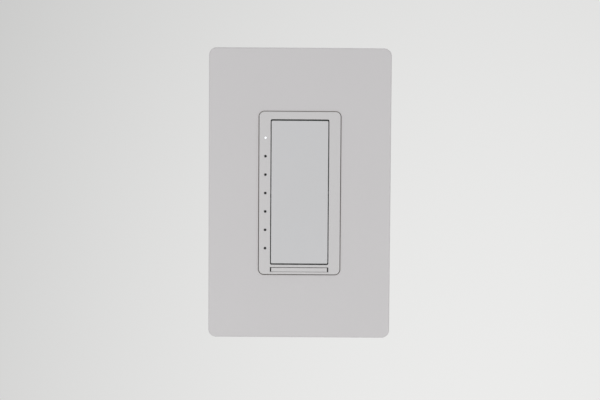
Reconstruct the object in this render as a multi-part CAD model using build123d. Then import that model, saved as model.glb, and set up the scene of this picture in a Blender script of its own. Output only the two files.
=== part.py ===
from build123d import *
import os

# In-wall lighting control: a rocker with a column of level lights in a
# screwless wall plate, on a metal yoke with the power stage behind it.
# The wall's face is the plane Y = 0: +X is right, +Z is up, +Y goes into the wall.
# Every "lift" is a distance from the wall towards the room, along -Y, in millimetres.

# Wall plate
PLATE_WIDTH = 74.7
PLATE_HEIGHT = 119.1
PLATE_DEPTH = 7.6
PLATE_WALL = 2.2
PLATE_CORNER = 3.2
PLATE_EDGE = 0.8
PLATE_SAG = 0.07
COLLAR_WALL = 1.2
COLLAR_DEPTH = 1.2
RIB_THICKNESS = 1.0
RIB_LENGTH = 16.0
RIB_PITCH = 14.0
RIB_COUNT = 4
RIB_PLAY = 0.8
HOOK_WIDTH = 6.0
HOOK_THICKNESS = 1.4
HOOK_BARB = 0.7
HOOK_TIP = 1.1
HOOK_INSET = 5.5
HOOK_Z = 30.0
HOOK_PLAY = 0.15
HOOK_FLEX = 1.2

# Sub-plate that the wall plate snaps to
SUB_THICKNESS = 1.8
SUB_RIM = 1.4
SUB_PLAY = 0.4
SUB_OPENING_PLAY = 0.3
SUB_POCKET_DEPTH = 0.8
SUB_POCKET_WEB = 2.5
PLATE_SCREW_SPACING = 96.8

# Insert: the bezel that fills the plate's opening
INSERT_WIDTH = 33.3
INSERT_HEIGHT = 66.8
INSERT_CORNER = 2.1
INSERT_GAP = 0.18
BEZEL_PROUD = 0.8
BEZEL_FRONT_WALL = 1.6
BEZEL_SIDE_WALL = 1.4
BEZEL_EDGE = 0.5
BORDER_SIDE = 4.675
BORDER_TOP = 3.2
OPENING_CORNER = 0.6
OPENING_EDGE = 0.2
BOSS_RADIUS = 2.0
BOSS_INSET = 2.8
BOSS_PLAY = 0.4
BOARD_RIB = 1.2
BOARD_RIB_REACH = 1.1

# Rocker and its pivot
ROCKER_PROUD = 0.1
ROCKER_SIDE_GAP = 0.35
ROCKER_TOP_GAP = 0.55
ROCKER_BOTTOM_GAP = 0.52
ROCKER_CORNER = 0.4
ROCKER_WALL = 1.6
ROCKER_SKIRT_WALL = 1.3
ROCKER_SKIRT = 3.0
ROCKER_EDGE = 0.3
ROCKER_RIB = 0.9
ROCKER_RIB_DEPTH = 1.0
ROCKER_RIB_COUNT = 5
FOOT_RADIUS = 1.6
FOOT_INSET = 9.3
FOOT_PLAY = 0.05
PIVOT_RADIUS = 0.9
PIVOT_PLAY = 0.05
PIVOT_WALL = 0.8
PIVOT_MOUTH = 1.5
BRACKET_PLAY = 0.1
BRACKET_PIPE_PLAY = 0.4
BRACKET_BOARD_PLAY = 0.25

# Air-gap pull tab and the contacts that it opens
TAB_HEIGHT = 1.64
TAB_TOP_GAP = 0.2
TAB_BOTTOM_GAP = 0.08
TAB_SIDE_GAP = 0.5
TAB_FLOOR = 1.0
TAB_WEB = 1.05
TAB_BAR = 3.8
TAB_EDGE = 0.2
TAB_TRAVEL = 3.0
TAB_STOP_PLAY = 0.2
STEM_WIDTH = 8.0
STEM_GRIP = 3.8
STEM_PLAY = 0.4
CARRIER_WIDTH = 13.0
CARRIER_HEIGHT = 2.8
CARRIER_FLOOR = 1.2
CARRIER_PLAY = 0.03
BRIDGE_WIDTH = 11.0
BRIDGE_HEIGHT = 2.0
CONTACT_THICKNESS = 0.8
CONTACT_WIDTH = 2.4
CONTACT_PITCH = 8.4

# Level lights
LIGHT_COUNT = 7
LIGHT_PITCH = 7.55
LIGHT_HOLE = 0.57
LIGHT_SHIFT = 0.25
PIPE_PLAY = 0.04
PIPE_RECESS = 0.25
PIPE_RAIL = 1.2
PIPE_LED_PLAY = 0.15
LED_WIDTH = 0.9
LED_LENGTH = 1.6
LED_HEIGHT = 0.7

# Control board, in front of the yoke
INSULATOR_THICKNESS = 0.4
CONTROL_THICKNESS = 1.2
CONTROL_PLAY = 0.3
CHIP_SIZE = 7.0
CHIP_HEIGHT = 1.0
CHIP_EDGE = 0.3
MAT_WIDTH = 12.0
MAT_MARGIN = 5.0
MAT_THICKNESS = 0.5
MAT_CORNER = 2.0
MAT_WINDOW_PLAY = 0.8
DOME_HEIGHT = 1.6
DOME_BASE_RADIUS = 3.2
DOME_TOP_RADIUS = 2.2
DOME_HOLLOW = 1.5
DOME_CROWN = 0.6

# Header that joins the two boards through the yoke
HEADER_PINS = 6
HEADER_SPACING = 2.54
HEADER_PIN = 0.64
HEADER_INSET = 4.9
HEADER_TAIL = 0.8
HEADER_PLAY = 0.1
SPACER_HEIGHT = 2.6
SPACER_END = 1.4
SPACER_BACK = 3.0
SPACER_PLAY = 0.3

# Yoke
YOKE_THICKNESS = 1.6
YOKE_FIN = 3.75
YOKE_BODY_END = 3.0
YOKE_STRAP_WIDTH = 30.0
YOKE_STRAP_END = 4.1
YOKE_CORNER = 2.5
SCORE_WIDTH = 0.6
SCORE_DEPTH = 0.5
SCORE_INSET = 2.6
BOX_SCREW_SPACING = 83.3
BOX_SLOT_LENGTH = 7.0
BOX_SLOT_WIDTH = 4.4
EAR_HEIGHT = 8.0
EAR_REACH = 8.5
EAR_BEND = 0.5
EAR_RELIEF = 0.8
EAR_END = 7.0

# Rear housing
HOUSING_SIDE = 1.85
HOUSING_END = 1.6
HOUSING_DEPTH = 28.0
HOUSING_WALL = 1.8
HOUSING_BACK_WALL = 2.4
HOUSING_CORNER = 3.0
HOUSING_EDGE = 1.2
TOWER_RADIUS = 2.7
SINK_PLAY = 0.25
SINK_DEPTH = 1.9
STANDOFF_RADIUS = 1.8
STANDOFF_HEIGHT = 2.0
STANDOFF_SIDE = 4.4
STANDOFF_END = 10.9
BARRIER_THICKNESS = 1.0
BARRIER_HEIGHT = 2.2
PANEL_MARGIN = 4.0
PANEL_CORNER = 2.0
PANEL_DEPTH = 0.4

# Power board and what it carries
POWER_THICKNESS = 1.6
POWER_PLAY = 0.3
CHOKE_RADIUS = 9.5
CHOKE_HOLE = 4.8
CHOKE_HEIGHT = 8.0
CHOKE_EDGE = 0.8
CHOKE_SIDE = 1.5
CHOKE_END = 8.45
WINDING_TURNS = 18
WIRE = 0.9
WIRE_PLAY = 0.05
FILM_WIDTH = 6.5
FILM_LENGTH = 13.0
FILM_HEIGHT = 11.0
FILM_EDGE = 0.6
FILM_SIDE = 2.65
FILM_Z = 15.0
CAN_RADIUS = 4.0
CAN_HEIGHT = 11.5
CAN_GROOVE = 0.4
CAN_GROOVE_LIFT = 1.6
CAN_EDGE = 0.5
CAN_SIDE = 2.4
CAN_Z = 8.0
FUSE_RADIUS = 4.2
FUSE_HEIGHT = 7.7
FUSE_EDGE = 0.5
FUSE_SIDE = 1.2
FUSE_Z = 18.0
VARISTOR_RADIUS = 5.0
VARISTOR_THICKNESS = 3.6
VARISTOR_EDGE = 1.0
VARISTOR_STAND = 1.2
VARISTOR_LEAD = 0.4
VARISTOR_LEAD_SPACING = 5.0
VARISTOR_SIDE = 3.0
VARISTOR_Z = -8.0

# Triac, clamped to the yoke as its heat sink
PAD_THICKNESS = 0.3
PAD_MARGIN = 0.8
TRIAC_WIDTH = 10.0
TRIAC_BODY = 9.2
TRIAC_DEPTH = 4.5
TRIAC_TAB = 6.3
TRIAC_TAB_THICKNESS = 1.3
TRIAC_HOLE_INSET = 2.8
TRIAC_GAP = 3.0
LEAD_WIDTH = 0.8
LEAD_THICKNESS = 0.5
LEAD_SPACING = 2.54
LEAD_RUN = 3.0
LEAD_DEPTH = 2.3
LEAD_TAIL = 0.8
LEAD_PLAY = 0.15

# Screws
MACHINE_HEAD = 3.2
MACHINE_HEAD_HEIGHT = 2.0
MACHINE_RADIUS = 1.75
NECK_RADIUS = 1.5
NECK_PAST_YOKE = 0.3
BOX_SCREW_LENGTH = 25.0
SUNK_HEAD_HEIGHT = 1.5
PLATE_SCREW_TAIL = 4.0
CASE_HEAD = 2.0
CASE_HEAD_HEIGHT = 1.5
CASE_RADIUS = 1.1
CASE_PLAY = 0.15
CASE_BITE = 3.0
CASE_BITE_PLAY = 0.5
SMALL_HEAD = 2.6
SMALL_HEAD_HEIGHT = 1.8
SMALL_RADIUS = 1.45
SMALL_STOP = 0.2
TERMINAL_SCREW_TAIL = 2.2
GROUND_SCREW_TAIL = 1.2
THREAD_PLAY = 0.05
HEAD_PLAY = 1.0
SCREW_SLOT = 0.9
SCREW_SLOT_DEPTH = 0.9
SCREW_TIP = 0.5
SCREW_CROWN = 0.8

# Side terminals: the side of the housing, and the height on it
TERMINAL_WIDTH = 8.0
TERMINAL_THICKNESS = 1.0
TERMINAL_DEPTH = 8.0
TERMINAL_LENGTH = 9.0
TERMINAL_TAIL_WIDTH = 4.0
TERMINAL_LAP = 2.0
TERMINAL_PLAY = 0.1
TERMINALS = ((-1, 9.0), (-1, -9.0), (1, 9.0))

# Lifts that follow
COVER_BACK = PLATE_DEPTH - PLATE_WALL
SUB_FRONT = YOKE_THICKNESS + SUB_THICKNESS
BEZEL_FRONT = PLATE_DEPTH + BEZEL_PROUD
BEZEL_BACK = BEZEL_FRONT - BEZEL_FRONT_WALL
ROCKER_FRONT = BEZEL_FRONT + ROCKER_PROUD
ROCKER_BACK = ROCKER_FRONT - ROCKER_WALL
SKIRT_BACK = ROCKER_FRONT - ROCKER_SKIRT
CONTROL_BACK = YOKE_THICKNESS + INSULATOR_THICKNESS
CONTROL_FRONT = CONTROL_BACK + CONTROL_THICKNESS
MAT_FRONT = CONTROL_FRONT + MAT_THICKNESS
DOME_FRONT = MAT_FRONT + DOME_HEIGHT
BRACKET_BACK = CONTROL_FRONT + BRACKET_BOARD_PLAY
PIVOT_LIFT = BRACKET_BACK + PIVOT_WALL + PIVOT_PLAY + PIVOT_RADIUS
RAIL_BACK = BEZEL_BACK - PIPE_RAIL
PIPE_BACK = CONTROL_FRONT + LED_HEIGHT + PIPE_LED_PLAY
TAB_BACK = BEZEL_FRONT - TAB_BAR
CARRIER_FRONT = -(TAB_TRAVEL + TAB_STOP_PLAY)
STEM_END = CARRIER_FRONT - STEM_GRIP
CARRIER_BACK = STEM_END - CARRIER_FLOOR
BRIDGE_BACK = CARRIER_BACK - CONTACT_THICKNESS
HOUSING_FLOOR = HOUSING_BACK_WALL - HOUSING_DEPTH
SINK_FLOOR = SINK_DEPTH - HOUSING_DEPTH
POWER_BACK = HOUSING_FLOOR + STANDOFF_HEIGHT
POWER_FRONT = POWER_BACK + POWER_THICKNESS
CHOKE_BACK = POWER_FRONT + WIRE + WIRE_PLAY
CHOKE_MID = CHOKE_BACK + CHOKE_HEIGHT / 2
TRIAC_FRONT = -PAD_THICKNESS
TRIAC_TAB_BACK = TRIAC_FRONT - TRIAC_TAB_THICKNESS
LEAD_LIFT = TRIAC_FRONT - LEAD_DEPTH
TERMINAL_FRONT = -TERMINAL_DEPTH
TERMINAL_BACK = TERMINAL_FRONT - TERMINAL_LENGTH
TERMINAL_MID = (TERMINAL_FRONT + TERMINAL_BACK) / 2
EAR_MID = EAR_HEIGHT / 2 - EAR_REACH

# Places and widths in the wall's plane that follow
INSERT_TOP = INSERT_HEIGHT / 2
OPENING_WIDTH = INSERT_WIDTH - 2 * BORDER_SIDE
OPENING_TOP = INSERT_TOP - BORDER_TOP
SLOT_BOTTOM = TAB_FLOOR - INSERT_TOP
TAB_BOTTOM = SLOT_BOTTOM + TAB_BOTTOM_GAP
TAB_Z = TAB_BOTTOM + TAB_HEIGHT / 2
SLOT_TOP = TAB_BOTTOM + TAB_HEIGHT + TAB_TOP_GAP
OPENING_BOTTOM = SLOT_TOP + TAB_WEB
ROCKER_WIDTH = OPENING_WIDTH - 2 * ROCKER_SIDE_GAP
ROCKER_TOP = OPENING_TOP - ROCKER_TOP_GAP
ROCKER_BOTTOM = OPENING_BOTTOM + ROCKER_BOTTOM_GAP
ROCKER_HEIGHT = ROCKER_TOP - ROCKER_BOTTOM
ROCKER_Z = (ROCKER_TOP + ROCKER_BOTTOM) / 2
FOOT_REACH = ROCKER_HEIGHT / 2 - FOOT_INSET
ROCKER_RIB_PITCH = 2 * FOOT_REACH / (ROCKER_RIB_COUNT - 1)
TAB_WIDTH = OPENING_WIDTH - 2 * TAB_SIDE_GAP
BORDER_X = (INSERT_WIDTH - BORDER_SIDE) / 2
BRACKET_INNER = OPENING_WIDTH / 2 + BRACKET_PLAY
LIGHT_X = LIGHT_SHIFT - BORDER_X
BRACKET_OUTER = -LIGHT_X - PIPE_RAIL / 2 - BRACKET_PIPE_PLAY
BOSS_Z = INSERT_TOP - BOSS_INSET
LIGHT_END = LIGHT_PITCH * (LIGHT_COUNT - 1) / 2
BOARD_RIB_Z = (LIGHT_END + BOSS_Z) / 2
BOARD_WIDTH = INSERT_WIDTH - 2 * (BEZEL_SIDE_WALL + CONTROL_PLAY)
BOARD_HEIGHT = INSERT_HEIGHT - 2 * (BEZEL_SIDE_WALL + CONTROL_PLAY)
PLATE_OPENING_WIDTH = INSERT_WIDTH + 2 * INSERT_GAP
PLATE_OPENING_HEIGHT = INSERT_HEIGHT + 2 * INSERT_GAP
PLATE_OPENING_CORNER = INSERT_CORNER + INSERT_GAP
PLATE_INNER_CORNER = PLATE_CORNER - PLATE_WALL
RIB_Z = (INSERT_TOP + PLATE_HEIGHT / 2) / 2
SUB_WIDTH = PLATE_WIDTH - 2 * (PLATE_WALL + SUB_PLAY)
SUB_HEIGHT = PLATE_HEIGHT - 2 * (PLATE_WALL + SUB_PLAY)
SUB_OPENING_EDGE = COLLAR_WALL + SUB_OPENING_PLAY
HOOK_X = SUB_WIDTH / 2 - HOOK_INSET
HOOK_WEB = HOOK_WIDTH / 2 + SUB_POCKET_WEB
HOUSING_WIDTH = INSERT_WIDTH + 2 * HOUSING_SIDE
HOUSING_HEIGHT = INSERT_HEIGHT + 2 * HOUSING_END
HOUSING_INNER_WIDTH = HOUSING_WIDTH - 2 * HOUSING_WALL
HOUSING_INNER_HEIGHT = HOUSING_HEIGHT - 2 * HOUSING_WALL
PANEL_WIDTH = HOUSING_WIDTH - 2 * PANEL_MARGIN
PANEL_HEIGHT = 2 * (BOSS_Z - CASE_HEAD - SINK_PLAY) - PANEL_MARGIN
POWER_WIDTH = HOUSING_INNER_WIDTH - 2 * POWER_PLAY
POWER_HEIGHT = HOUSING_INNER_HEIGHT - 2 * POWER_PLAY
STANDOFF_X = POWER_WIDTH / 2 - STANDOFF_SIDE
STANDOFF_Z = POWER_HEIGHT / 2 - STANDOFF_END
CHOKE_REACH = CHOKE_RADIUS + WIRE + WIRE_PLAY
CHOKE_X = POWER_WIDTH / 2 - CHOKE_SIDE - CHOKE_REACH
CHOKE_Z = CHOKE_END + CHOKE_REACH - POWER_HEIGHT / 2
FILM_X = FILM_SIDE + FILM_WIDTH / 2 - POWER_WIDTH / 2
CAN_X = POWER_WIDTH / 2 - CAN_SIDE - CAN_RADIUS
FUSE_X = POWER_WIDTH / 2 - FUSE_SIDE - FUSE_RADIUS
VARISTOR_X = VARISTOR_SIDE + VARISTOR_THICKNESS / 2 - POWER_WIDTH / 2
YOKE_WIDTH = HOUSING_WIDTH + 2 * YOKE_FIN
YOKE_BODY_HEIGHT = HOUSING_HEIGHT + 2 * YOKE_BODY_END
YOKE_HEIGHT = PLATE_SCREW_SPACING + 2 * YOKE_STRAP_END
EAR_Z = EAR_END + EAR_HEIGHT / 2 - HOUSING_HEIGHT / 2
HEADER_Z = BOARD_HEIGHT / 2 - HEADER_INSET
HEADER_LENGTH = HEADER_SPACING * (HEADER_PINS - 1)
HEADER_HOLE = HEADER_PIN / 2**0.5 + HEADER_PLAY
SPACER_WIDTH = HEADER_LENGTH + 2 * SPACER_END
TRIAC_Z = HEADER_Z - SPACER_HEIGHT / 2 - TRIAC_GAP - TRIAC_TAB - TRIAC_BODY
TRIAC_HOLE_Z = TRIAC_Z + TRIAC_BODY + TRIAC_TAB - TRIAC_HOLE_INSET
LEAD_Z = TRIAC_Z - LEAD_RUN
LEAD_HOLE = (LEAD_WIDTH**2 + LEAD_THICKNESS**2) ** 0.5 / 2 + LEAD_PLAY

# Repeats
ENDS = (1, -1)
CORNERS = [(x * BORDER_X, z * BOSS_Z) for x in ENDS for z in ENDS]
STANDOFFS = [(x * STANDOFF_X, z * STANDOFF_Z) for x in ENDS for z in ENDS]
LIGHT_ROWS = [LIGHT_END - LIGHT_PITCH * i for i in range(LIGHT_COUNT)]
HEADER_COLUMNS = [HEADER_SPACING * i - HEADER_LENGTH / 2 for i in range(HEADER_PINS)]
LEAD_COLUMNS = [-LEAD_SPACING, 0, LEAD_SPACING]


def slab(outline, back, front):
    """A prism of an outline drawn in the wall's plane, between two lifts."""
    return extrude(Plane.XZ.offset(back) * outline, front - back)


def block(width, height, back, front, x=0, z=0):
    """A rectangular prism between two lifts, centred on x and z."""
    return slab(Pos(x, z) * Rectangle(width, height), back, front)


def post(radius, back, front, x=0, z=0):
    """A round post between two lifts."""
    return slab(Pos(x, z) * Circle(radius), back, front)


def rounded(width, height, corner, back, front, z=0):
    """A prism with rounded corners between two lifts."""
    return slab(Pos(0, z) * RectangleRounded(width, height, corner), back, front)


def pin_along_x(radius, left, right, lift, z):
    """A round pin along X between two sides."""
    return extrude(Plane.YZ.offset(left) * Pos(-lift, z) * Circle(radius), right - left)


def front_edges(solid):
    """The edges round the face of a solid that is nearest to the room."""
    return solid.faces().sort_by(Axis.Y)[0].outer_wire().edges()


def back_edges(solid):
    """The edges round the face of a solid that is deepest in the wall."""
    return solid.faces().sort_by(Axis.Y)[-1].outer_wire().edges()


def cone_at_origin(back_radius, front_radius, depth):
    """A cone along Y whose face towards the room is centred on the origin."""
    cone = Cone(back_radius, front_radius, depth, align=(Align.CENTER, Align.CENTER, Align.MAX))
    return Rot(90, 0, 0) * cone


def shaft(radius, start, end):
    """A screw's shaft along +Y between two depths, with a chamfered tip."""
    bar = post(radius, -end, -start)
    return chamfer(back_edges(bar), SCREW_TIP)


def driver_slot(head, top):
    """The slot across a screw's head, whose top is at this lift."""
    return block(2 * head, SCREW_SLOT, top - SCREW_SLOT_DEPTH, top)


def pan_head(head, height):
    """A slotted pan head with its underside at the origin."""
    crown = post(head, 0, height)
    crown = chamfer(front_edges(crown), SCREW_CROWN)
    return crown - driver_slot(head, height)


def pan_screw(head, height, radius, length):
    """A pan-head screw along +Y, with the underside of its head at the origin."""
    return pan_head(head, height) + shaft(radius, 0, length)


def sunk_screw(play, length):
    """The form of a countersunk machine screw along +Y, with the top of its head at the origin."""
    head = cone_at_origin(MACHINE_RADIUS + play, MACHINE_HEAD + play, SUNK_HEAD_HEIGHT)
    return head + shaft(MACHINE_RADIUS + play, 0, length)


# Wall plate and the sub-plate under it


def snap_hook(side, end):
    """A hook behind the wall plate whose barb catches behind the sub-plate."""
    inner = HOOK_X - HOOK_THICKNESS / 2
    outer = HOOK_X + HOOK_THICKNESS / 2
    catch = YOKE_THICKNESS - HOOK_PLAY
    tip = catch - HOOK_TIP
    outline = Polyline(
        (inner, -COVER_BACK),
        (outer, -COVER_BACK),
        (outer, -catch),
        (outer + HOOK_BARB, -catch),
        (outer, -tip),
        (inner, -tip),
        close=True,
    )
    hook = extrude(Plane.XY.offset(end * HOOK_Z) * make_face(outline), HOOK_WIDTH / 2, both=True)
    return hook if side > 0 else mirror(hook, about=Plane.YZ)


def hook_slot(side, end):
    """The slot that a hook passes, with room on its inner side for it to flex."""
    inner = HOOK_X - HOOK_THICKNESS / 2 - HOOK_FLEX
    outer = HOOK_X + HOOK_THICKNESS / 2 + HOOK_PLAY
    middle = side * (inner + outer) / 2
    return block(outer - inner, HOOK_WIDTH + 2 * HOOK_PLAY, YOKE_THICKNESS, SUB_FRONT, middle, end * HOOK_Z)


def pocket(side, bottom, top):
    """A shallow pocket in the back of the sub-plate, beside the yoke, between two heights."""
    inner = YOKE_WIDTH / 2 + SUB_POCKET_WEB
    outer = SUB_WIDTH / 2 - SUB_POCKET_WEB
    middle = side * (inner + outer) / 2
    floor = YOKE_THICKNESS + SUB_POCKET_DEPTH
    return block(outer - inner, top - bottom, YOKE_THICKNESS, floor, middle, (top + bottom) / 2)


def cover_plate():
    """Screwless wall plate: a shell with a collar round its opening, hung a little low on its hooks."""
    plate = rounded(PLATE_WIDTH, PLATE_HEIGHT, PLATE_CORNER, 0, PLATE_DEPTH)
    plate = fillet(front_edges(plate), PLATE_EDGE)
    cavity = rounded(
        PLATE_WIDTH - 2 * PLATE_WALL,
        PLATE_HEIGHT - 2 * PLATE_WALL,
        PLATE_INNER_CORNER,
        0,
        COVER_BACK,
    )
    cavity -= rounded(
        PLATE_OPENING_WIDTH + 2 * COLLAR_WALL,
        PLATE_OPENING_HEIGHT + 2 * COLLAR_WALL,
        PLATE_OPENING_CORNER + COLLAR_WALL,
        COVER_BACK - COLLAR_DEPTH,
        COVER_BACK,
    )
    first_rib = -RIB_PITCH * (RIB_COUNT - 1) / 2
    for end in ENDS:
        for i in range(RIB_COUNT):
            x = first_rib + RIB_PITCH * i
            cavity -= block(RIB_THICKNESS, RIB_LENGTH, SUB_FRONT + RIB_PLAY, COVER_BACK, x, end * RIB_Z)
        for side in ENDS:
            cavity -= snap_hook(side, end)
    plate -= cavity
    plate -= rounded(PLATE_OPENING_WIDTH, PLATE_OPENING_HEIGHT, PLATE_OPENING_CORNER, 0, PLATE_DEPTH)
    front = plate.faces().sort_by(Axis.Y)[0]
    plate = fillet(front.inner_wires()[0].edges(), OPENING_EDGE)
    return Pos(0, 0, -PLATE_SAG) * plate


def sub_plate():
    """Frame on the yoke that carries the wall plate: a flat base with a raised rim."""
    frame = rounded(SUB_WIDTH, SUB_HEIGHT, PLATE_INNER_CORNER, YOKE_THICKNESS, COVER_BACK)
    frame -= block(SUB_WIDTH - 2 * SUB_RIM, SUB_HEIGHT - 2 * SUB_RIM, SUB_FRONT, COVER_BACK)
    frame -= rounded(
        PLATE_OPENING_WIDTH + 2 * SUB_OPENING_EDGE,
        PLATE_OPENING_HEIGHT + 2 * SUB_OPENING_EDGE,
        PLATE_OPENING_CORNER + SUB_OPENING_EDGE,
        YOKE_THICKNESS,
        SUB_FRONT,
    )
    screw_hole = sunk_screw(THREAD_PLAY, 2 * SUB_THICKNESS)
    for end in ENDS:
        head_room = MACHINE_HEAD + HEAD_PLAY
        frame -= post(head_room, YOKE_THICKNESS, SUB_FRONT, 0, end * BOX_SCREW_SPACING / 2)
        frame -= Pos(0, -SUB_FRONT, end * PLATE_SCREW_SPACING / 2) * screw_hole
        for side in ENDS:
            frame -= hook_slot(side, end)
    for side in ENDS:
        frame -= pocket(side, HOOK_WEB - HOOK_Z, HOOK_Z - HOOK_WEB)
        frame -= pocket(side, HOOK_Z + HOOK_WEB, SUB_HEIGHT / 2 - SUB_POCKET_WEB)
        frame -= pocket(side, SUB_POCKET_WEB - SUB_HEIGHT / 2, -HOOK_Z - HOOK_WEB)
    return frame


def sub_plate_screws():
    """Two countersunk screws through the sub-plate into the yoke."""
    screw = sunk_screw(0, SUB_THICKNESS + YOKE_THICKNESS + PLATE_SCREW_TAIL) - driver_slot(MACHINE_HEAD, 0)
    return [Pos(0, -SUB_FRONT, end * PLATE_SCREW_SPACING / 2) * screw for end in ENDS]


# Yoke and its screws


def ground_ear():
    """Ear folded back from the yoke's right edge, with a tapped hole for the ground screw."""
    edge = YOKE_WIDTH / 2
    bend = YOKE_THICKNESS + EAR_BEND
    leg = Pos(edge - YOKE_THICKNESS / 2, (EAR_REACH - YOKE_THICKNESS) / 2)
    section = leg * Rectangle(YOKE_THICKNESS, EAR_REACH + YOKE_THICKNESS)
    foot = bend + EAR_RELIEF
    section += Pos(edge - foot / 2, -YOKE_THICKNESS / 2) * Rectangle(foot, YOKE_THICKNESS)
    outer = section.vertices().sort_by_distance((edge, -YOKE_THICKNESS, 0))[0]
    section = fillet(outer, bend)
    inner = section.vertices().sort_by_distance((edge - YOKE_THICKNESS, 0, 0))[0]
    section = fillet(inner, EAR_BEND)
    ear = extrude(Plane.XY.offset(EAR_Z) * section, EAR_HEIGHT / 2, both=True)
    return ear - pin_along_x(MACHINE_RADIUS + THREAD_PLAY, edge - bend, edge, EAR_MID, EAR_Z)


def mounting_yoke():
    """Aluminium strap that holds the device in the wall box and cools the triac."""
    outline = RectangleRounded(YOKE_WIDTH, YOKE_BODY_HEIGHT, YOKE_CORNER)
    outline += RectangleRounded(YOKE_STRAP_WIDTH, YOKE_HEIGHT, YOKE_CORNER)
    for end in ENDS:
        outline -= Pos(0, end * BOX_SCREW_SPACING / 2) * SlotOverall(BOX_SLOT_LENGTH, BOX_SLOT_WIDTH)
        outline -= Pos(0, end * PLATE_SCREW_SPACING / 2) * Circle(MACHINE_RADIUS + THREAD_PLAY)
    for x, z in CORNERS:
        outline -= Pos(x, z) * Circle(CASE_RADIUS + CASE_PLAY)
    outline -= Pos(0, TRIAC_HOLE_Z) * Circle(SMALL_RADIUS + THREAD_PLAY)
    outline -= header_slot()
    outline -= stem_slot()
    bend = YOKE_THICKNESS + EAR_BEND
    outline -= Pos(YOKE_WIDTH / 2 - bend / 2, EAR_Z) * Rectangle(bend, EAR_HEIGHT + 2 * EAR_RELIEF)
    plate = slab(outline, 0, YOKE_THICKNESS)
    for side in ENDS:
        score_x = side * (YOKE_WIDTH / 2 - SCORE_INSET)
        plate -= block(SCORE_WIDTH, YOKE_BODY_HEIGHT, YOKE_THICKNESS - SCORE_DEPTH, YOKE_THICKNESS, score_x)
    return plate + ground_ear()


def box_screws():
    """Two long screws into the wall box, held in the yoke's slots by their thinner necks."""
    neck = YOKE_THICKNESS + NECK_PAST_YOKE
    screw = pan_head(MACHINE_HEAD, MACHINE_HEAD_HEIGHT) + post(NECK_RADIUS, -neck, 0)
    screw += shaft(MACHINE_RADIUS, neck, BOX_SCREW_LENGTH)
    return [Pos(0, -YOKE_THICKNESS, end * BOX_SCREW_SPACING / 2) * screw for end in ENDS]


def ground_screw():
    """Screw through the yoke's ear for the ground wire."""
    screw = pan_screw(MACHINE_HEAD, MACHINE_HEAD_HEIGHT, MACHINE_RADIUS, YOKE_THICKNESS + GROUND_SCREW_TAIL)
    return Pos(YOKE_WIDTH / 2, -EAR_MID, EAR_Z) * Rot(0, 0, 90) * screw


# Front: bezel, rocker, light guides and pull tab


def pivot_bracket(side):
    """A bracket behind the bezel with a snap-in bearing for one of the rocker's pins."""
    width = BRACKET_OUTER - BRACKET_INNER
    middle = side * (BRACKET_INNER + BRACKET_OUTER) / 2
    bearing = PIVOT_RADIUS + PIVOT_PLAY
    bracket = block(width, 2 * (bearing + PIVOT_WALL), BRACKET_BACK, BEZEL_BACK, middle, ROCKER_Z)
    left = middle - width / 2
    bracket -= pin_along_x(bearing, left, left + width, PIVOT_LIFT, ROCKER_Z)
    return bracket - block(width, PIVOT_MOUTH, BRACKET_BACK, PIVOT_LIFT, middle, ROCKER_Z)


def board_rib(side, end):
    """A rib behind the bezel that holds the control board down."""
    inner = BORDER_X - BOARD_RIB_REACH
    outer = INSERT_WIDTH / 2 - BEZEL_SIDE_WALL
    middle = side * (inner + outer) / 2
    return block(outer - inner, BOARD_RIB, CONTROL_FRONT, BEZEL_BACK, middle, end * BOARD_RIB_Z)


def bezel():
    """Insert with the rocker's opening, the tab's slot and the row of light holes."""
    shell = rounded(INSERT_WIDTH, INSERT_HEIGHT, INSERT_CORNER, YOKE_THICKNESS, BEZEL_FRONT)
    shell = fillet(front_edges(shell), BEZEL_EDGE)
    cavity = block(
        INSERT_WIDTH - 2 * BEZEL_SIDE_WALL,
        INSERT_HEIGHT - 2 * BEZEL_SIDE_WALL,
        YOKE_THICKNESS,
        BEZEL_BACK,
    )
    for x, z in CORNERS:
        cavity -= post(BOSS_RADIUS, YOKE_THICKNESS, BEZEL_BACK, x, z)
    for side in ENDS:
        cavity -= pivot_bracket(side)
        for end in ENDS:
            cavity -= board_rib(side, end)
    shell -= cavity
    shell -= rounded(
        OPENING_WIDTH,
        OPENING_TOP - OPENING_BOTTOM,
        OPENING_CORNER,
        BEZEL_BACK,
        BEZEL_FRONT,
        (OPENING_TOP + OPENING_BOTTOM) / 2,
    )
    slot_z = (SLOT_TOP + SLOT_BOTTOM) / 2
    shell -= block(OPENING_WIDTH, SLOT_TOP - SLOT_BOTTOM, YOKE_THICKNESS, BEZEL_FRONT, 0, slot_z)
    front = shell.faces().sort_by(Axis.Y)[0]
    opening_edges = [edge for wire in front.inner_wires() for edge in wire.edges()]
    shell = fillet(opening_edges, OPENING_EDGE)
    for z in LIGHT_ROWS:
        shell -= post(LIGHT_HOLE, BEZEL_BACK, BEZEL_FRONT, LIGHT_X, z)
    pilot_end = YOKE_THICKNESS + CASE_BITE + CASE_BITE_PLAY
    for x, z in CORNERS:
        shell -= post(CASE_RADIUS + THREAD_PLAY, YOKE_THICKNESS, pilot_end, x, z)
    return shell


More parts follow.
